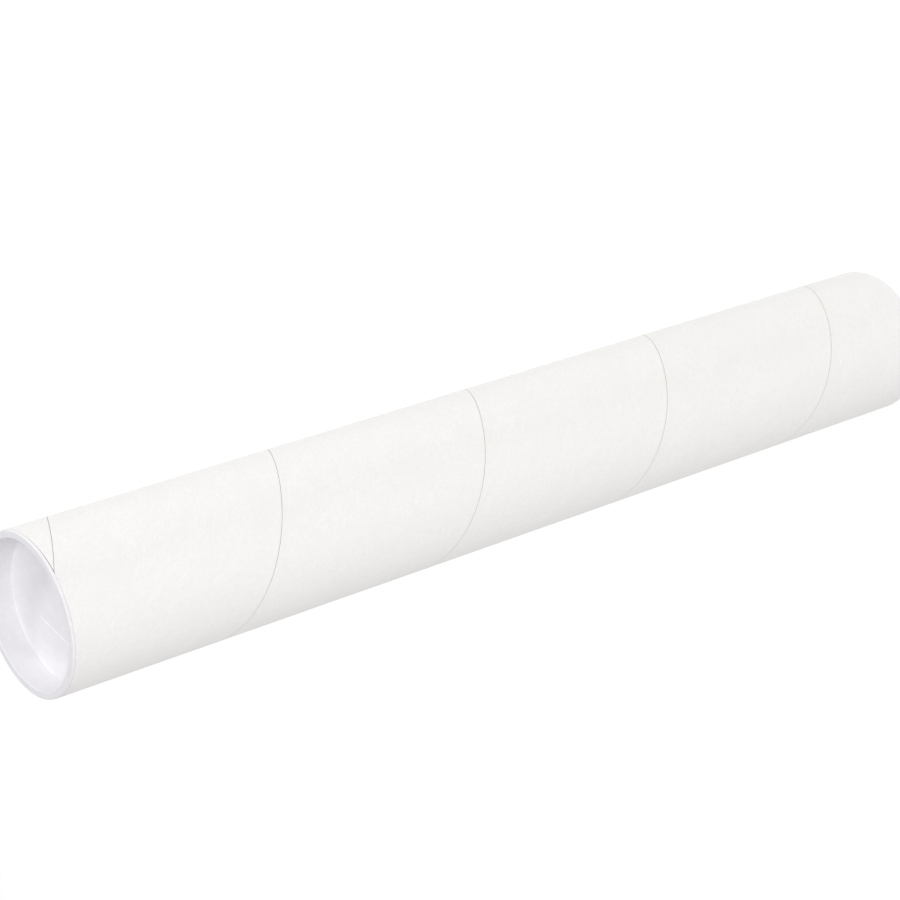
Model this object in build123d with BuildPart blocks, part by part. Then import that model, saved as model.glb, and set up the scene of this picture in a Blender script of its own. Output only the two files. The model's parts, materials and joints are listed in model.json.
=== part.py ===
"""A spiral-wound cardboard mailing tube with a flanged plastic plug in each end.

The tube stands on its bottom plug. The origin is the centre of that plug's outer face,
+Z runs up the tube's axis, and +X points at the photographed side, near the place where
the spiral seam reaches the top end. Lengths are millimetres and angles are degrees.
"""

import os
from math import cos, radians, sin, sqrt

from build123d import *

os.makedirs("parts", exist_ok=True)

# Tube: it is sold by its bore and its length
bore_diameter = 63.5
wall_thickness = 1.524
tube_length = 457.2

# Outer ply: one strip of paper, wound left-handed, whose edges meet in a butt seam
outer_ply_thickness = 0.3
seam_width = 0.2
seam_lead = 102.2
seam_end_angle = 21.0

# Plug flange: it covers the cut end of the tube
flange_thickness = 1.3
flange_setback = 0.15
flange_lip_width = 3.1
flange_edge_chamfer = 0.3

# Plug cup: open to the outside, closed by a floor inside the tube
recess_depth = 11.0
cup_draft = 0.9
floor_thickness = 1.3
floor_chamfer = 0.6
mouth_chamfer = 0.6

# Plug skirt: a snug band under the flange, then a taper that leads it into the bore
skirt_clearance = 0.08
skirt_band_height = 4.5
skirt_taper = 0.9
nose_chamfer = 0.7

# Floor groove: a shallow straight channel across the cup floor, beside its centre
groove_width = 2.5
groove_depth = 0.4
groove_offset = 8.25
groove_angle = -41.0

# Sizes that follow from the ones above
bore_radius = bore_diameter / 2
outer_radius = bore_radius + wall_thickness
flange_radius = outer_radius - flange_setback
cup_mouth_radius = flange_radius - flange_lip_width
cup_floor_radius = cup_mouth_radius - cup_draft
skirt_radius = bore_radius - skirt_clearance
nose_radius = skirt_radius - skirt_taper
plug_depth = recess_depth + floor_thickness
flat_floor_radius = cup_floor_radius - floor_chamfer
groove_length = 2 * sqrt(flat_floor_radius**2 - groove_offset**2)
tube_base = flange_thickness
tube_top = tube_base + tube_length
overall_height = tube_top + flange_thickness


def seam_angle(height):
    """Angle about the tube's axis at which the seam passes the given height."""
    return seam_end_angle + (tube_top - height) * 360 / seam_lead


def build_plug(face):
    """A plug whose outer face lies on the given plane, with the plane's normal pointing out of the tube."""
    half_section = Plane(origin=face.origin, x_dir=face.x_dir, z_dir=-face.y_dir)
    cup_floor = face.offset(-recess_depth).rotated((0, 0, groove_angle))
    with BuildPart() as plug:
        # Half the section: x is the distance from the axis and y is the height above the outer face
        with BuildSketch(half_section) as shell_section:
            with BuildLine() as shell_outline:
                Polyline(
                    (0, -recess_depth),
                    (cup_floor_radius, -recess_depth),
                    (cup_mouth_radius, 0),
                    (flange_radius, 0),
                    (flange_radius, -flange_thickness),
                    (skirt_radius, -flange_thickness),
                    (skirt_radius, -flange_thickness - skirt_band_height),
                    (nose_radius, nose_chamfer - plug_depth),
                    (nose_radius - nose_chamfer, -plug_depth),
                    (0, -plug_depth),
                    close=True,
                )
            make_face()
            for corner, size in (
                ((cup_floor_radius, -recess_depth), floor_chamfer),
                ((cup_mouth_radius, 0), mouth_chamfer),
                ((flange_radius, 0), flange_edge_chamfer),
                ((flange_radius, -flange_thickness), flange_edge_chamfer),
            ):
                chamfer(shell_section.vertices().sort_by_distance(corner)[0], size)
        revolve(axis=Axis(face.origin, face.z_dir))
        with BuildSketch(cup_floor) as groove_plan:
            with Locations((0, -groove_offset)):
                Rectangle(groove_length, groove_width)
        extrude(amount=-groove_depth, mode=Mode.SUBTRACT)
    return plug


# Tube wall: the glued plies are one solid
with BuildPart() as tube:
    with BuildSketch(Plane.XY.offset(tube_base)) as wall_section:
        Circle(outer_radius)
        Circle(bore_radius, mode=Mode.SUBTRACT)
    extrude(amount=tube_length)

    # Butt seam: a shallow helical groove as deep as the outer ply, run past both cut ends
    seam_overrun = 2 * seam_width
    seam_start_height = tube_base - seam_overrun
    seam_start_angle = radians(seam_angle(seam_start_height))
    start_direction = (cos(seam_start_angle), sin(seam_start_angle), 0)
    seam_base = Plane(origin=(0, 0, seam_start_height), x_dir=start_direction, z_dir=(0, 0, 1))
    with BuildLine(seam_base) as seam_path:
        Helix(seam_lead, tube_length + 2 * seam_overrun, outer_radius, lefthand=True)
    seam_start = Plane(origin=seam_path.line @ 0, x_dir=start_direction, z_dir=seam_path.line % 0)
    with BuildSketch(seam_start) as seam_section:
        Rectangle(2 * outer_ply_thickness, seam_width)
    sweep(path=seam_path.line, is_frenet=True, mode=Mode.SUBTRACT)

# The two plugs are the same moulding, one at each end
top_plug = build_plug(Plane(origin=(0, 0, overall_height), x_dir=(1, 0, 0), z_dir=(0, 0, 1)))
bottom_plug = build_plug(Plane(origin=(0, 0, 0), x_dir=(1, 0, 0), z_dir=(0, 0, -1)))

for name, piece in (("tube", tube), ("top_plug", top_plug), ("bottom_plug", bottom_plug)):
    piece.part.label = name
    export_step(piece.part, f"parts/{name}.step")
    print(name, "volume", round(piece.part.volume / 1000, 2), "cm3")
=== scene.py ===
# %% [markdown]
# # A spiral-wound mailing tube
#
# The object is a white cardboard tube with a white plastic plug in each end. Its solids come ready
# made, in their real sizes, so this script never moves or resizes them. It makes finer pieces that
# take their place: paper that is really wound in strips, and plugs with the soft edges of a moulding.
# Everything is in metres, the tube stands on its bottom plug, and +Z runs up its axis.

# %% Load the solids
import json
import math

import bmesh
import bpy
from mathutils import Matrix, Quaternion, Vector


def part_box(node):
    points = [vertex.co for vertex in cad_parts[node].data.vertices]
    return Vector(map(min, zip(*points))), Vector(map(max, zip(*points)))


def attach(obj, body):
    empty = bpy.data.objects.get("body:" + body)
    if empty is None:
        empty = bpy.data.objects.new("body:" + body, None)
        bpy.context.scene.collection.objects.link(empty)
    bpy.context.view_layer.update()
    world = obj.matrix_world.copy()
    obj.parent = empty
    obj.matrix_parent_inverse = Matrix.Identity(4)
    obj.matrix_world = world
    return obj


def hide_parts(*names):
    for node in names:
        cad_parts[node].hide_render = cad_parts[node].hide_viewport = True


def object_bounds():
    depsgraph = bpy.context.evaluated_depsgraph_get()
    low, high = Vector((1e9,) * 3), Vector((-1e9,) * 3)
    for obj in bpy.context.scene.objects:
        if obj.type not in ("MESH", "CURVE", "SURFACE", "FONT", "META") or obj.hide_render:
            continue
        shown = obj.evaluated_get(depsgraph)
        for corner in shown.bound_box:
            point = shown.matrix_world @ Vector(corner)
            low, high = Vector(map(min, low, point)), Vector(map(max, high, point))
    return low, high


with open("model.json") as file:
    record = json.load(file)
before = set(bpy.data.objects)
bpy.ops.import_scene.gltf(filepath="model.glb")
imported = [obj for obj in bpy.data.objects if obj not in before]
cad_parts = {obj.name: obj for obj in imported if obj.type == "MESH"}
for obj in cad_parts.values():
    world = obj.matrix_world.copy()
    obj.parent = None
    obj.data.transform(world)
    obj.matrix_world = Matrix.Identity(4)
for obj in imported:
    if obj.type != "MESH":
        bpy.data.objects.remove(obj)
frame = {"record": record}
cad_low, cad_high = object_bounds()
print("CAD box", [round(v, 4) for v in (*cad_low, *cad_high)])

# %% [markdown]
# ## Sizes of the tube
#
# The solids give the outside of each piece. What can't be measured from outside, such as the
# thickness of one ply of paper or how far the seam climbs in one turn, is a named size here, the same
# as in the solids. Only the seam's gap is finer, because two plies of real paper nearly touch there.
# A millimetre is written as `MM`, which keeps small sizes easy to read.

# %% Sizes of the tube
MM = 0.001
tube_low, tube_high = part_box("tube")
tube_base, tube_top = tube_low.z, tube_high.z
overall_height = cad_high.z
tube_wall = next(mount for mount in frame["record"]["mounts"] if mount["name"] == "tube_wall")
outer_radius = tube_wall["dims"]["r_mm"] * MM
wall_thickness = 1.524 * MM
bore_radius = outer_radius - wall_thickness
ply_thickness = 0.3 * MM
seam_lead = 102.2 * MM
seam_gap = 0.12 * MM
print("tube from", round(tube_base, 5), "to", round(tube_top, 5), "outer radius", round(outer_radius, 5))

# %% [markdown]
# ## Camera
#
# A product photographer often tips a long object across the frame. This tube would roll if it lay
# down, so it stands on its end, and the camera is rolled instead. It looks down on the tube from
# beside it. Its place, tilt and lens come from fitting the tube's outline, the whole near rim and the
# seams in the photograph.

# %% Camera
camera_beside = 0.8994
camera_above_top = 0.4276
camera_heading = math.radians(179.33)
camera_dip = math.radians(35.286)
camera_roll = math.radians(-107.79)
camera_lens = 104.58
camera_sensor = 36

camera_data = bpy.data.cameras.new("photo_camera")
camera_data.lens = camera_lens
camera_data.sensor_width = camera_sensor
camera = bpy.data.objects.new("photo_camera", camera_data)
bpy.context.scene.collection.objects.link(camera)
camera.location = (camera_beside, 0, overall_height + camera_above_top)
level = math.cos(camera_dip)
look_x = level * math.cos(camera_heading)
look_y = level * math.sin(camera_heading)
look = Vector((look_x, look_y, -math.sin(camera_dip)))
camera.rotation_mode = "QUATERNION"
camera.rotation_quaternion = look.to_track_quat("-Z", "Y") @ Quaternion((0, 0, 1), camera_roll)
bpy.context.scene.camera = camera
print("camera", [round(v, 3) for v in camera.location], "lens", camera_lens, "mm")

# %% [markdown]
# ## Floor
#
# The ground in the photograph is pure white and holds no shadow, as on a light table. So the floor is
# a wide pale sheet that also glows, and the glow washes the shadows out.

# %% Floor
floor_reach = 8.0
floor_grey = 0.35
floor_glow = 0.75

floor_mesh = bpy.data.meshes.new("floor")
floor_corners = [(-1, -1), (1, -1), (1, 1), (-1, 1)]
floor_points = [(x * floor_reach, y * floor_reach, 0) for x, y in floor_corners]
floor_mesh.from_pydata(floor_points, [], [(0, 1, 2, 3)])
floor = bpy.data.objects.new("floor", floor_mesh)
bpy.context.scene.collection.objects.link(floor)
floor_material = bpy.data.materials.new("light_table")
floor_material.use_nodes = True
floor_shader = floor_material.node_tree.nodes["Principled BSDF"]
floor_shader.inputs["Base Color"].default_value = (floor_grey, floor_grey, floor_grey, 1)
floor_shader.inputs["Roughness"].default_value = 0.9
floor_shader.inputs["Specular IOR Level"].default_value = 0.1
floor_shader.inputs["Emission Color"].default_value = (1, 1, 1, 1)
floor_shader.inputs["Emission Strength"].default_value = floor_glow
floor_mesh.materials.append(floor_material)
print("floor", 2 * floor_reach, "m wide, glow", floor_glow)

# %% [markdown]
# ## Light
#
# A dim white world fills the shadows from all round. One small softbox stands on the side that the
# photograph calls up, which is the tube's +Y side, so that the rim of the plug throws its shadow into
# the cup. A second one, large and on the camera's side, makes the side that the camera sees the
# brightest.


# %% Light
def add_softbox(name, azimuth, elevation, distance, size, power):
    """A square area light that faces the top of the tube, placed by its direction from there."""
    turned, raised = math.radians(azimuth), math.radians(elevation)
    reach = math.cos(raised)
    away = Vector((reach * math.cos(turned), reach * math.sin(turned), math.sin(raised)))
    data = bpy.data.lights.new(name, "AREA")
    data.size = size
    data.energy = power
    light = bpy.data.objects.new(name, data)
    light.location = Vector((0, 0, tube_top)) + away * distance
    light.rotation_mode = "QUATERNION"
    light.rotation_quaternion = (-away).to_track_quat("-Z", "Y")
    bpy.context.scene.collection.objects.link(light)
    return light


world_glow = 0.4
world = bpy.data.worlds.new("studio")
world.use_nodes = True
world.node_tree.nodes["Background"].inputs["Color"].default_value = (1, 1, 1, 1)
world.node_tree.nodes["Background"].inputs["Strength"].default_value = world_glow
bpy.context.scene.world = world
bpy.context.scene.view_settings.view_transform = "Standard"

softboxes = (
    add_softbox("rim_softbox", azimuth=106, elevation=24, distance=2.0, size=0.25, power=11.2),
    add_softbox("near_softbox", azimuth=0, elevation=50, distance=3.0, size=3.0, power=66),
)
print("lights", [(light.name, round(light.data.energy, 1)) for light in softboxes])

# %% [markdown]
# ## Small helpers for node trees
#
# The wound paper and the materials are both node trees. One helper adds a node, sets its values and
# links its inputs, so that each tree reads as a short list of steps.


# %% Node helpers
def add_node(tree, kind, inputs=None, **settings):
    """A node of a kind with its settings; each input is linked to a socket or set to a value."""
    node = tree.nodes.new(kind)
    for name, value in settings.items():
        setattr(node, name, value)
    for key, value in (inputs or {}).items():
        if isinstance(value, bpy.types.NodeSocket):
            tree.links.new(value, node.inputs[key])
        else:
            node.inputs[key].default_value = value
    return node


def calculate(tree, operation, *values):
    """The result of one Math node."""
    return add_node(tree, "ShaderNodeMath", dict(enumerate(values)), operation=operation).outputs[0]


def spread(tree, mask, low, high, at_low, at_high):
    """A mask whose range low..high is stretched to at_low..at_high, without overshoot."""
    inputs = {"Value": mask, "From Min": low, "From Max": high, "To Min": at_low, "To Max": at_high}
    return add_node(tree, "ShaderNodeMapRange", inputs).outputs["Result"]


def start_group(name, kind, inputs, outputs):
    """A node group with its named inputs and outputs, each given as a name and a type."""
    group = bpy.data.node_groups.new(name, kind)
    for direction, sockets in (("INPUT", inputs), ("OUTPUT", outputs)):
        for socket_name, socket_type in sockets:
            kind_name = "NodeSocket" + socket_type
            group.interface.new_socket(socket_name, in_out=direction, socket_type=kind_name)
    return group, group.nodes.new("NodeGroupInput").outputs, group.nodes.new("NodeGroupOutput")


node_helpers = (add_node, calculate, spread, start_group)
print("node helpers", [helper.__name__ for helper in node_helpers])

# %% [markdown]
# ## Effects that several surfaces share
#
# Paper, chipboard and plastic all look uneven when seen close, each at its own scale. Two effects
# cover that. `mottle` is a cloudy mask from two sizes of noise, such as the blotches where paper
# pulp has gathered. `fibres` is a mask of short streaks, made by noise that is stretched along one
# direction. Each is a shader node group, built once and used in each material with its own values.


# %% Shared effects
def build_mottle():
    """Cloudy mask around 0.5, from blotches of a size and finer grain of a quarter of that size."""
    inputs = [("Vector", "Vector"), ("Blotch Size", "Float"), ("Grain", "Float")]
    group, given, result = start_group("mottle", "ShaderNodeTree", inputs, [("Mask", "Float")])
    place = given["Vector"]
    scale = calculate(group, "DIVIDE", 1.0, given["Blotch Size"])
    coarse = {"Vector": place, "Scale": scale, "Detail": 2.0}
    blotches = add_node(group, "ShaderNodeTexNoise", coarse)
    fine = {"Vector": place, "Scale": calculate(group, "MULTIPLY", scale, 4.0), "Detail": 1.0}
    grain = add_node(group, "ShaderNodeTexNoise", fine)
    difference = calculate(group, "SUBTRACT", grain.outputs["Fac"], 0.5)
    mask = calculate(group, "MULTIPLY_ADD", difference, given["Grain"], blotches.outputs["Fac"])
    group.links.new(mask, result.inputs["Mask"])
    return group


def build_fibres():
    """Mask of short streaks around 0.5: noise in a space that is squeezed along x."""
    inputs = [("Vector", "Vector"), ("Fibre Width", "Float"), ("Stretch", "Float")]
    group, given, result = start_group("fibres", "ShaderNodeTree", inputs, [("Mask", "Float")])
    squeeze = calculate(group, "DIVIDE", 1.0, given["Stretch"])
    factors = add_node(group, "ShaderNodeCombineXYZ", {"X": squeeze, "Y": 1.0, "Z": 1.0}).outputs[0]
    squeezed = {0: given["Vector"], 1: factors}
    space = add_node(group, "ShaderNodeVectorMath", squeezed, operation="MULTIPLY")
    scale = calculate(group, "DIVIDE", 1.0, given["Fibre Width"])
    noise = {"Vector": space.outputs[0], "Scale": scale, "Detail": 3.0, "Distortion": 0.4}
    streaks = add_node(group, "ShaderNodeTexNoise", noise)
    group.links.new(streaks.outputs["Fac"], result.inputs["Mask"])
    return group


mottle = build_mottle()
fibres = build_fibres()
print("shared effects", mottle.name, fibres.name)


# %% [markdown]
# ## Helpers for materials
#
# Each material mixes a few colours by masks and sends a height to a Bump node. The values that are
# the same all over a surface are set on the Principled shader itself.


# %% Material helpers
def start_material(name, constants):
    """A material, its node tree and its Principled shader with the constant values set."""
    material = bpy.data.materials.new(name)
    material.use_nodes = True
    shader = material.node_tree.nodes["Principled BSDF"]
    for key, value in constants.items():
        shader.inputs[key].default_value = value
    return material, material.node_tree, shader


def use_group(tree, group, inputs):
    """The mask that a shared effect gives with these inputs."""
    return add_node(tree, "ShaderNodeGroup", inputs, node_tree=group).outputs[0]


def mix_colours(tree, mask, first, second):
    """A colour that goes from the first to the second as the mask goes from 0 to 1."""
    node = add_node(tree, "ShaderNodeMix", {"Factor": mask}, data_type="RGBA")
    for socket, value in ((node.inputs[6], first), (node.inputs[7], second)):
        if isinstance(value, bpy.types.NodeSocket):
            tree.links.new(value, socket)
        else:
            socket.default_value = (*value, 1)
    return node.outputs[2]


def add_bump(tree, shader, height, distance, strength):
    """A Bump node from a height mask to the shader's normal."""
    relief = {"Height": height, "Distance": distance, "Strength": strength}
    bump = add_node(tree, "ShaderNodeBump", relief)
    tree.links.new(bump.outputs["Normal"], shader.inputs["Normal"])


material_helpers = (start_material, use_group, mix_colours, add_bump)
print("material helpers", [helper.__name__ for helper in material_helpers])

# %% [markdown]
# ## White paper
#
# The outer ply is smooth uncoated paper. Close up it is faintly mottled, because the pulp lies
# unevenly and the grey board under it shows through a little, and its fibres run along the strip.
# The strip's cut edges are a little grey, partly because handling rubs them and dust gathers in the
# seam, and partly as painted shade of the seam's narrow gap.
# All of this follows the wound strip, so it reads the strip's own coordinates, which the ply stores
# as an attribute: metres along the strip and metres across it.

# %% White paper
thin_pulp = (0.85, 0.84, 0.825)
thick_pulp = (0.915, 0.907, 0.891)
board_tint = (0.86, 0.842, 0.822)
# Grey of the cut edges: dust, and painted shade of the seam's gap
seam_dust_and_shade = (0.3, 0.28, 0.25)
seam_dust_and_shade_width = 0.2 * MM
seam_dust_and_shade_share = 0.45


def build_paper():
    """Uncoated white paper, for a surface that has its strip coordinates."""
    constants = {"Roughness": 0.72, "Specular IOR Level": 0.35}
    material, tree, shader = start_material("white_paper", constants)
    strip = add_node(tree, "ShaderNodeAttribute", attribute_name="strip").outputs["Vector"]

    # Pulp: small clouds and fibres
    clouds = use_group(tree, mottle, {"Vector": strip, "Blotch Size": 1.5 * MM, "Grain": 0.9})
    streaks = use_group(tree, fibres, {"Vector": strip, "Fibre Width": 0.5 * MM, "Stretch": 7.0})
    cloud_mask = spread(tree, clouds, 0.3, 0.7, 0.0, 0.55)
    streak_mask = spread(tree, streaks, 0.3, 0.7, 0.0, 0.45)
    pulp = calculate(tree, "ADD", cloud_mask, streak_mask)
    colour = mix_colours(tree, pulp, thin_pulp, thick_pulp)

    # Board: it shows through in broad patches
    broad = use_group(tree, mottle, {"Vector": strip, "Blotch Size": 14 * MM, "Grain": 0.3})
    board_shows = spread(tree, broad, 0.35, 0.65, 0.0, 0.35)
    colour = mix_colours(tree, board_shows, colour, board_tint)

    # Cut edges, greyed by dust and by painted shade of the seam's gap: the distance to the middle of the
    # nearest seam
    across = add_node(tree, "ShaderNodeSeparateXYZ", {0: strip}).outputs["Y"]
    from_seam = calculate(tree, "PINGPONG", across, seam_lead / 2)
    half_gap = seam_gap / 2
    seam_dust_and_shade_mask = spread(tree, from_seam, half_gap, half_gap + seam_dust_and_shade_width, seam_dust_and_shade_share, 0.0)
    colour = mix_colours(tree, seam_dust_and_shade_mask, colour, seam_dust_and_shade)
    tree.links.new(colour, shader.inputs["Base Color"])
    add_bump(tree, shader, pulp, distance=0.05 * MM, strength=0.8)
    return material


paper = build_paper()
print(paper.name, "has", len(paper.node_tree.nodes), "nodes")

# %% [markdown]
# ## Chipboard
#
# Under the white ply are plies of plain grey-brown board. They show only where a plug is pulled out:
# on the cut end, as thin rings, and on the wall of the bore. The rings come from the distance to the
# axis, which a Ping-Pong node turns into lines that are one ply apart.

# %% Chipboard
dark_board = (0.27, 0.225, 0.175)
light_board = (0.4, 0.345, 0.28)
glue_line_width = 0.05 * MM
glue_line_shade = 0.55


def build_chipboard():
    """Plain board with a glue line between its plies."""
    constants = {"Roughness": 0.85, "Specular IOR Level": 0.2}
    material, tree, shader = start_material("chipboard", constants)
    place = add_node(tree, "ShaderNodeTexCoord").outputs["Object"]

    # Board: clouds and short fibres
    clouds = use_group(tree, mottle, {"Vector": place, "Blotch Size": 2.2 * MM, "Grain": 1.2})
    streaks = use_group(tree, fibres, {"Vector": place, "Fibre Width": 0.4 * MM, "Stretch": 4.0})
    mask = spread(tree, calculate(tree, "ADD", clouds, streaks), 0.7, 1.3, 0.0, 1.0)
    colour = mix_colours(tree, mask, dark_board, light_board)

    # Glue lines: how far the depth under the tube's outside is from a whole number of plies
    parts = add_node(tree, "ShaderNodeSeparateXYZ", {0: place}).outputs
    flat = add_node(tree, "ShaderNodeCombineXYZ", {"X": parts["X"], "Y": parts["Y"]}).outputs[0]
    radius = add_node(tree, "ShaderNodeVectorMath", {0: flat}, operation="LENGTH").outputs["Value"]
    depth = calculate(tree, "SUBTRACT", outer_radius, radius)
    from_glue_line = calculate(tree, "PINGPONG", depth, ply_thickness / 2)
    shade = spread(tree, from_glue_line, 0.0, glue_line_width, glue_line_shade, 1.0)
    shaded = add_node(tree, "ShaderNodeVectorMath", {0: colour, "Scale": shade}, operation="SCALE")
    tree.links.new(shaded.outputs[0], shader.inputs["Base Color"])
    add_bump(tree, shader, mask, distance=0.05 * MM, strength=0.7)
    return material


chipboard = build_chipboard()
print(chipboard.name, "has", len(chipboard.node_tree.nodes), "nodes")

# %% [markdown]
# ## Plug plastic
#
# The plugs are satin polyethylene, white with a faint lavender cast and very slightly cloudy. A fine
# moulded grain breaks up the gloss, so it feeds both the roughness and the bump.

# %% Plug plastic
dull_white = (0.842, 0.827, 0.86)
clear_white = (0.87, 0.855, 0.886)


def build_plastic():
    """Satin white polyethylene with a fine moulded grain."""
    material, tree, shader = start_material("satin_plastic", {"Specular IOR Level": 0.5})
    place = add_node(tree, "ShaderNodeTexCoord").outputs["Object"]
    clouds = use_group(tree, mottle, {"Vector": place, "Blotch Size": 6.0 * MM, "Grain": 0.4})
    grain = use_group(tree, mottle, {"Vector": place, "Blotch Size": 0.5 * MM, "Grain": 0.6})
    cloud_mask = spread(tree, clouds, 0.35, 0.65, 0.0, 1.0)
    colour = mix_colours(tree, cloud_mask, dull_white, clear_white)
    tree.links.new(colour, shader.inputs["Base Color"])
    tree.links.new(spread(tree, grain, 0.3, 0.7, 0.3, 0.42), shader.inputs["Roughness"])
    add_bump(tree, shader, grain, distance=0.01 * MM, strength=0.5)
    return material


plastic = build_plastic()
print(plastic.name, "has", len(plastic.node_tree.nodes), "nodes")

# %% [markdown]
# ## The wound paper: a strip laid flat
#
# A spiral tube is made from strips of paper that run onto a mandrel at a slant, each strip butting
# against its own last turn. The shape follows a rule, not a free form: each point of a strip is at an
# angle, a height and a depth. So Geometry Nodes build it. They draw the strip's section, a thin
# rectangle with slightly rounded corners, and lay a flat grid with one row for each point of that
# section and one column for each step round the tube.


# %% Strip laid flat
def draw_section(tree, size):
    """Points of the strip's section, and their number: x is the height in a turn, y the depth."""
    width = calculate(tree, "SUBTRACT", size["Lead"], size["Gap"])
    rectangle_size = {"Width": width, "Height": size["Thickness"]}
    rectangle = add_node(tree, "GeometryNodeCurvePrimitiveQuadrilateral", rectangle_size)
    fillet = {"Curve": rectangle.outputs[0], "Radius": size["Edge Round"], "Count": 2}
    section = add_node(tree, "GeometryNodeFilletCurve", fillet, mode="POLY")
    curve = {"Curve": section.outputs[0]}
    points = add_node(tree, "GeometryNodeCurveToPoints", curve, mode="EVALUATED").outputs["Points"]
    counted = add_node(tree, "GeometryNodeAttributeDomainSize", {0: points}, component="POINTCLOUD")
    return points, counted.outputs["Point Count"]


def lay_grid(tree, columns, section_points, point_count):
    """A flat grid; for each of its points, how far along the strip it is and its section point."""
    rows = calculate(tree, "ADD", point_count, 1)
    grid_size = {"Size X": 1.0, "Size Y": 1.0, "Vertices X": rows, "Vertices Y": columns}
    grid = add_node(tree, "GeometryNodeMeshGrid", grid_size)
    position = add_node(tree, "GeometryNodeInputPosition").outputs[0]
    grid_place = add_node(tree, "ShaderNodeSeparateXYZ", {0: position}).outputs
    across = calculate(tree, "ADD", grid_place["X"], 0.5)
    along = calculate(tree, "ADD", grid_place["Y"], 0.5)
    row = calculate(tree, "ROUND", calculate(tree, "MULTIPLY", across, point_count))
    corner = calculate(tree, "MODULO", row, point_count)
    looked_up = {"Geometry": section_points, "Value": position, "Index": corner}
    point_vector = {"data_type": "FLOAT_VECTOR", "domain": "POINT"}
    sample = add_node(tree, "GeometryNodeSampleIndex", looked_up, **point_vector)
    section_place = add_node(tree, "ShaderNodeSeparateXYZ", {0: sample.outputs["Value"]}).outputs
    return grid.outputs["Mesh"], along, section_place


print("flat strip", [helper.__name__ for helper in (draw_section, lay_grid)])

# %% [markdown]
# ## The wound paper: rolled up
#
# The strip climbs one lead in each turn. Heights are held between the two cut ends, which trims the
# slanting strip flat. At the top end the strip runs out in a thin tip, and on the real tube that tip
# has worn back a little from the cut, so it is trimmed lower there. The angle falls as the height
# grows, which makes the winding left-handed.


# %% Rolled up
def find_heights(tree, size, along, section_x):
    """Height of the seam below each point, how far that is under the top end, and the point's height."""
    half_gap = calculate(tree, "MULTIPLY", size["Gap"], 0.5)
    first_edge = calculate(tree, "ADD", size["Base"], half_gap)
    first_seam = calculate(tree, "SUBTRACT", first_edge, size["Lead"])
    turns_up = calculate(tree, "MULTIPLY", along, size["Turns"])
    seam_height = calculate(tree, "MULTIPLY_ADD", turns_up, size["Lead"], first_seam)
    strip_middle = calculate(tree, "MULTIPLY_ADD", size["Lead"], 0.5, seam_height)
    strip_height = calculate(tree, "ADD", strip_middle, section_x)
    below_top = calculate(tree, "SUBTRACT", size["Top"], seam_height)
    tip = spread(tree, below_top, 0.0, size["Tip Length"], 1.0, 0.0)
    worn_back = calculate(tree, "MULTIPLY", tip, size["Tip Wear"])
    trimmed_top = calculate(tree, "SUBTRACT", size["Top"], worn_back)
    limits = {"Value": strip_height, "Min": size["Base"], "Max": trimmed_top}
    height = add_node(tree, "ShaderNodeClamp", limits).outputs[0]
    return seam_height, below_top, height


def roll_up(tree, size, grid, along, section_place):
    """The grid rolled onto the cylinder, with its strip coordinates stored for the material."""
    seam_height, below_top, height = find_heights(tree, size, along, section_place["X"])
    turns_down = calculate(tree, "DIVIDE", below_top, size["Lead"])
    angle = calculate(tree, "MULTIPLY_ADD", turns_down, 2 * math.pi, size["Seam Angle"])
    middle_radius = calculate(tree, "MULTIPLY_ADD", size["Thickness"], -0.5, size["Radius"])
    radius = calculate(tree, "ADD", middle_radius, section_place["Y"])
    rolled_x = calculate(tree, "MULTIPLY", radius, calculate(tree, "COSINE", angle))
    rolled_y = calculate(tree, "MULTIPLY", radius, calculate(tree, "SINE", angle))
    rolled_place = add_node(tree, "ShaderNodeCombineXYZ", {"X": rolled_x, "Y": rolled_y, "Z": height})

    # Strip coordinates: metres along the strip, metres across it, and the radius
    along_strip = calculate(tree, "MULTIPLY", calculate(tree, "MULTIPLY", angle, -1.0), size["Radius"])
    across_strip = calculate(tree, "SUBTRACT", height, seam_height)
    strip_parts = {"X": along_strip, "Y": across_strip, "Z": radius}
    strip_place = add_node(tree, "ShaderNodeCombineXYZ", strip_parts).outputs[0]
    attribute = {"Geometry": grid, "Name": "strip", "Value": strip_place}
    corner_vector = {"data_type": "FLOAT_VECTOR", "domain": "CORNER"}
    stored = add_node(tree, "GeometryNodeStoreNamedAttribute", attribute, **corner_vector)
    moved = {"Geometry": stored.outputs[0], "Position": rolled_place.outputs[0]}
    return add_node(tree, "GeometryNodeSetPosition", moved).outputs[0]


print("rolling up", [helper.__name__ for helper in (find_heights, roll_up)])

# %% [markdown]
# ## The wound paper: one tree with named sizes
#
# The same tree winds every ply, so its sizes are named inputs. It ends with the finishing steps. The
# first and the last row of the grid meet, so doubles are merged, which closes the section. Rolling
# up leaves the faces pointing into the paper, so they are flipped.

# %% Ply tree
WELD_DISTANCE = 0.004 * MM


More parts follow.
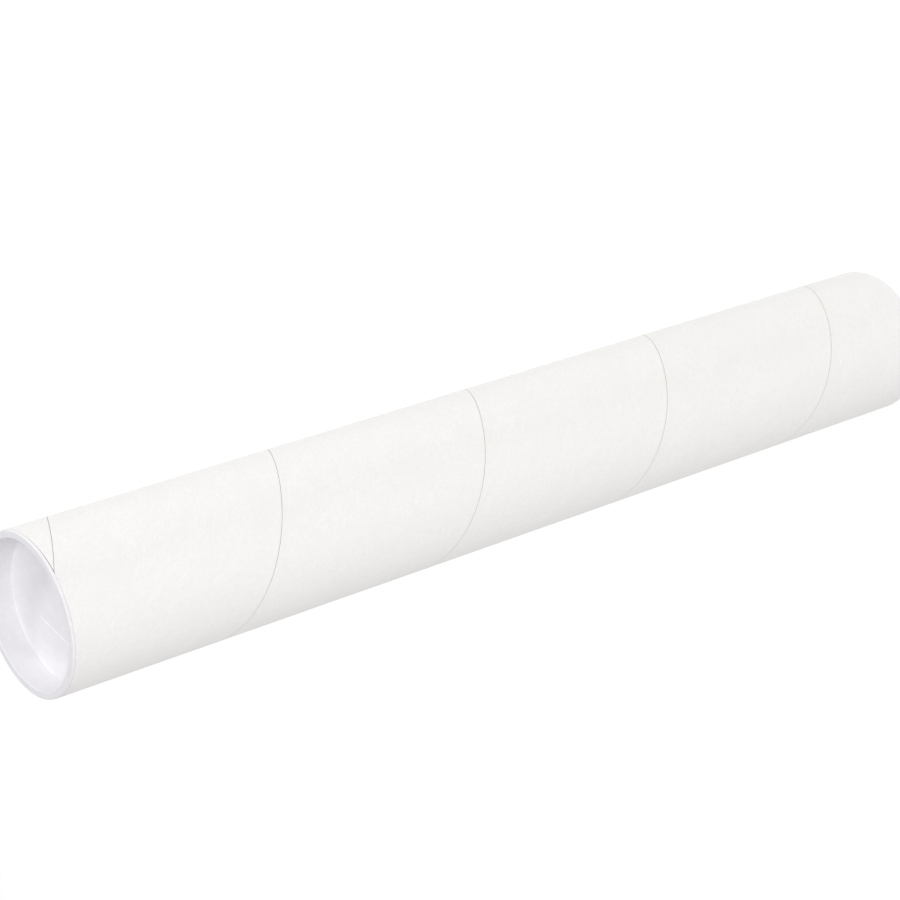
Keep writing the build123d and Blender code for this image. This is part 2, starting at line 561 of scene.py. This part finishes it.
def build_ply_tree():
    """A closed strip of paper, wound left-handed on a cylinder and trimmed flat at both ends."""
    strip_sizes = ("Radius", "Thickness", "Lead", "Gap", "Edge Round", "Seam Angle")
    end_sizes = ("Base", "Top", "Turns", "Tip Wear", "Tip Length")
    inputs = [(name, "Float") for name in strip_sizes + end_sizes]
    inputs += [("Columns", "Int"), ("Material", "Material")]
    outputs = [("Geometry", "Geometry")]
    tree, size, result = start_group("wound_ply", "GeometryNodeTree", inputs, outputs)
    section_points, point_count = draw_section(tree, size)
    grid, along, section_place = lay_grid(tree, size["Columns"], section_points, point_count)
    rolled = roll_up(tree, size, grid, along, section_place)
    joined = {"Geometry": rolled, "Distance": WELD_DISTANCE}
    closed = add_node(tree, "GeometryNodeMergeByDistance", joined)
    outward = add_node(tree, "GeometryNodeFlipFaces", {"Mesh": closed.outputs[0]})
    shading = {"Geometry": outward.outputs[0], "Shade Smooth": True}
    smooth = add_node(tree, "GeometryNodeSetShadeSmooth", shading)
    real = add_node(tree, "GeometryNodeRealizeInstances", {"Geometry": smooth.outputs[0]})
    finish = {"Geometry": real.outputs[0], "Material": size["Material"]}
    painted = add_node(tree, "GeometryNodeSetMaterial", finish)
    tree.links.new(painted.outputs[0], result.inputs["Geometry"])
    return tree


ply_tree = build_ply_tree()
print(ply_tree.name, "has", len(ply_tree.nodes), "nodes")

# %% [markdown]
# ## The two plies that are wound
#
# Two plies have a seam that can be seen: the white outer one, and the liner inside the bore. A live
# node tree can't leave this file, so each is baked: an empty mesh carries the tree, and what the tree
# makes is kept as a plain mesh. The number of turns is worked out so that the strip runs out exactly
# where its lower edge meets the trimmed top end.


# %% Wound plies
def bake_tree(tree, name, values):
    """A plain mesh object with what a node tree makes from the given input values."""
    carrier = bpy.data.objects.new(name + "_carrier", bpy.data.meshes.new(name + "_carrier"))
    bpy.context.scene.collection.objects.link(carrier)
    modifier = carrier.modifiers.new("nodes", "NODES")
    modifier.node_group = tree
    identifiers = {s.name: s.identifier for s in tree.interface.items_tree if s.in_out == "INPUT"}
    for key, value in values.items():
        modifier[identifiers[key]] = value
    graph = bpy.context.evaluated_depsgraph_get()
    mesh = bpy.data.meshes.new_from_object(carrier.evaluated_get(graph))
    mesh.name = name
    bpy.data.objects.remove(carrier)
    made = bpy.data.objects.new(name, mesh)
    bpy.context.scene.collection.objects.link(made)
    return made


COLUMNS_PER_TURN = 160
EDGE_ROUND = 0.05 * MM
TIP_LENGTH = 11 * MM
PLY_SHARP_ANGLE = math.radians(20)


def wind_ply(name, radius, lead, gap, seam_angle, tip_wear, material):
    """One ply of the tube's wall, wound with its outer face at the given radius."""
    run_out = (gap / 2 + tip_wear) / (1 + tip_wear / TIP_LENGTH)
    turns = (tube_top - tube_base + lead - gap / 2 - run_out) / lead
    sizes = {
        "Radius": radius,
        "Thickness": ply_thickness,
        "Lead": lead,
        "Gap": gap,
        "Edge Round": EDGE_ROUND,
        "Base": tube_base,
        "Top": tube_top,
        "Seam Angle": seam_angle,
        "Turns": turns,
        "Tip Wear": tip_wear,
        "Tip Length": TIP_LENGTH,
        "Columns": math.ceil(turns * COLUMNS_PER_TURN) + 1,
        "Material": material,
    }
    ply = bake_tree(ply_tree, name, sizes)
    ply.data.set_sharp_from_angle(angle=PLY_SHARP_ANGLE)
    print(name, len(ply.data.polygons), "faces,", round(turns, 2), "turns")
    return ply


seam_angle = math.radians(21)
tip_wear = 0.22 * MM
outer_ply = wind_ply("outer_ply", outer_radius, seam_lead, seam_gap, seam_angle, tip_wear, paper)

liner_radius = bore_radius + ply_thickness
liner_lead = 0.93 * seam_lead
liner_gap = 0.4 * MM
liner_angle = math.radians(140)
liner_ply = wind_ply("liner_ply", liner_radius, liner_lead, liner_gap, liner_angle, 0.0, chipboard)

# %% [markdown]
# ## Turned shapes
#
# The inner plies and the plugs are round, so they are turned, as on a lathe: an outline of radius and
# height goes round the axis. Real edges are never quite sharp, so each corner of an outline can be
# given a radius, and a small arc takes its place. One more point stands just outside each end of an
# arc, which keeps the flat faces beside it evenly shaded.

# %% Turned shapes
SHARP_ANGLE = math.radians(40)


def round_corners(corners, steps=5, margin=0.05 * MM):
    """Outline points in which each corner (radius, height, rounding) becomes an arc."""
    outline = []
    neighbours = zip(corners[-1:] + corners, corners, corners[1:] + corners[:1])
    for before, (x, y, rounding), after in neighbours:
        corner = Vector((x, y))
        if rounding == 0:
            outline.append(corner)
            continue
        back = (Vector(before[:2]) - corner).normalized()
        ahead = (Vector(after[:2]) - corner).normalized()
        half_angle = back.angle(ahead) / 2
        reach = rounding / math.tan(half_angle)
        middle = corner + (back + ahead).normalized() * rounding / math.sin(half_angle)
        first = (corner + back * reach - middle).normalized()
        last = (corner + ahead * reach - middle).normalized()
        arc = [middle + first.slerp(last, k / steps) * rounding for k in range(steps + 1)]
        outline += [corner + back * (reach + margin), *arc, corner + ahead * (reach + margin)]
    return outline


def add_mesh(name, mesh, material):
    """An object from a finished bmesh, smooth except at its sharp edges."""
    data = bpy.data.meshes.new(name)
    mesh.to_mesh(data)
    mesh.free()
    data.materials.append(material)
    data.shade_smooth()
    data.set_sharp_from_angle(angle=SHARP_ANGLE)
    made = bpy.data.objects.new(name, data)
    bpy.context.scene.collection.objects.link(made)
    return made


def turn(name, outline, segments, material):
    """A closed mesh turned about +Z from an outline of (radius, height) points."""
    mesh = bmesh.new()
    angles = [2 * math.pi * k / segments for k in range(segments)]
    rings = []
    for radius, height in outline:
        if radius == 0:
            rings.append([mesh.verts.new((0, 0, height))])
            continue
        places = [(radius * math.cos(angle), radius * math.sin(angle), height) for angle in angles]
        rings.append([mesh.verts.new(place) for place in places])
    pairs = list(zip(rings, rings[1:]))
    if len(rings[0]) > 1:
        pairs.append((rings[-1], rings[0]))
    for lower, upper in pairs:
        for k in range(segments):
            n = (k + 1) % segments
            below = (lower[k % len(lower)], lower[n % len(lower)])
            above = (upper[n % len(upper)], upper[k % len(upper)])
            mesh.faces.new(dict.fromkeys(below + above))
    bmesh.ops.recalc_face_normals(mesh, faces=mesh.faces)
    return add_mesh(name, mesh, material)


print("turning", [helper.__name__ for helper in (round_corners, add_mesh, turn)])

# %% [markdown]
# ## Inner plies
#
# The plies between the liner and the white paper are glued into one wall, and no seam of theirs can
# be seen. So they are one plain ring, as long as the tube. It fills the wall between the two wound
# plies, and all three pieces together stand for the tube's solid.

# %% Inner plies
core_outside = outer_radius - ply_thickness
core_inside = bore_radius + ply_thickness
core_corners = [
    (core_inside, tube_base),
    (core_outside, tube_base),
    (core_outside, tube_top),
    (core_inside, tube_top),
]
inner_plies = turn("inner_plies", core_corners, COLUMNS_PER_TURN, chipboard)
for piece in (outer_ply, liner_ply, inner_plies):
    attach(piece, "tube")
    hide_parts("tube")
print("inner plies", len(inner_plies.data.polygons), "faces")

# %% [markdown]
# ## The plugs: their outline
#
# Each plug is one moulding: a flange that covers the cut end, and an open cup whose skirt grips the
# bore. The skirt has a snug band under the flange, then narrows to a nose that leads it in. The edges
# have the small radii of a moulding, where the solids have chamfers or plain corners.

# %% Plug outline
flange_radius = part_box("top_plug")[1].x
flange_thickness = tube_base
plug_depth = overall_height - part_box("top_plug")[0].z
floor_thickness = 1.3 * MM
recess_depth = plug_depth - floor_thickness
lip_width = 3.1 * MM
cup_draft = 0.9 * MM
skirt_clearance = 0.08 * MM
skirt_band_height = 4.5 * MM
skirt_taper = 0.9 * MM

mouth_radius = flange_radius - lip_width
cup_floor_radius = mouth_radius - cup_draft
skirt_radius = bore_radius - skirt_clearance
nose_radius = skirt_radius - skirt_taper
band_end = -flange_thickness - skirt_band_height

floor_rounding = 0.7 * MM
mouth_rounding = 0.5 * MM
rim_rounding = 0.35 * MM
underside_rounding = 0.2 * MM
seat_rounding = 0.1 * MM
band_rounding = 2.0 * MM
nose_rounding = 0.7 * MM

plug_corners = [
    (0, -recess_depth, 0),
    (cup_floor_radius, -recess_depth, floor_rounding),
    (mouth_radius, 0, mouth_rounding),
    (flange_radius, 0, rim_rounding),
    (flange_radius, -flange_thickness, underside_rounding),
    (skirt_radius, -flange_thickness, seat_rounding),
    (skirt_radius, band_end, band_rounding),
    (nose_radius, -plug_depth, nose_rounding),
    (0, -plug_depth, 0),
]
print("plug outline", len(round_corners(plug_corners)), "points, plug depth", round(plug_depth, 5))

# %% [markdown]
# ## The plugs: the groove
#
# A shallow straight groove crosses the cup's floor, beside its centre. A Boolean cuts it with a bar,
# because a straight groove doesn't follow the round of the plug. It is a little shallower than in the
# solids, and its sides lean outwards, as they do in a mould.

# %% Plug groove
PLUG_SEGMENTS = 192
groove_width = 2.5 * MM
groove_depth = 0.25 * MM
groove_slope = 0.4
groove_offset = 8.25 * MM
groove_angle = math.radians(-41)
cutter_overrun = 0.05 * MM


def make_groove_cutter():
    """The bar that is cut out of the cup's floor, from just above it down to the groove's bottom."""
    mesh = bmesh.new()
    bmesh.ops.create_cube(mesh, size=1)
    half_length = math.sqrt((cup_floor_radius - floor_rounding) ** 2 - groove_offset**2)
    for vert in mesh.verts:
        height = cutter_overrun if vert.co.z > 0 else -groove_depth
        half_width = groove_width / 2 + groove_slope * height
        across = math.copysign(half_width, vert.co.y) - groove_offset
        vert.co = (math.copysign(half_length, vert.co.x), across, height - recess_depth)
    bmesh.ops.transform(mesh, matrix=Matrix.Rotation(groove_angle, 4, "Z"), verts=mesh.verts)
    return add_mesh("groove", mesh, plastic)


def make_plug_mesh():
    """The mesh of a plug whose outer face lies at height 0 and faces up."""
    plug = turn("plug", round_corners(plug_corners), PLUG_SEGMENTS, plastic)
    cutter = make_groove_cutter()
    cut = plug.modifiers.new("groove", "BOOLEAN")
    cut.operation = "DIFFERENCE"
    cut.solver = "EXACT"
    cut.object = cutter
    graph = bpy.context.evaluated_depsgraph_get()
    mesh = bpy.data.meshes.new_from_object(plug.evaluated_get(graph))
    mesh.set_sharp_from_angle(angle=SHARP_ANGLE)
    bpy.data.objects.remove(plug)
    bpy.data.objects.remove(cutter)
    return mesh


plug_mesh = make_plug_mesh()
print("plug mesh", len(plug_mesh.polygons), "faces")

# %% [markdown]
# ## The plugs: one in each end
#
# The two plugs are the same moulding, so one mesh serves both, and the bottom one is turned upside
# down. Each rides on its own body, so that either end can be opened.

# %% Both plugs
for name, face_height, flip in (("top_plug", overall_height, 0), ("bottom_plug", 0, math.pi)):
    mesh = plug_mesh.copy()
    mesh.transform(Matrix.Translation((0, 0, face_height)) @ Matrix.Rotation(flip, 4, "X"))
    plug = bpy.data.objects.new(name + "_moulding", mesh)
    bpy.context.scene.collection.objects.link(plug)
    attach(plug, name)
    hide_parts(name)
    print(plug.name, len(mesh.polygons), "faces")
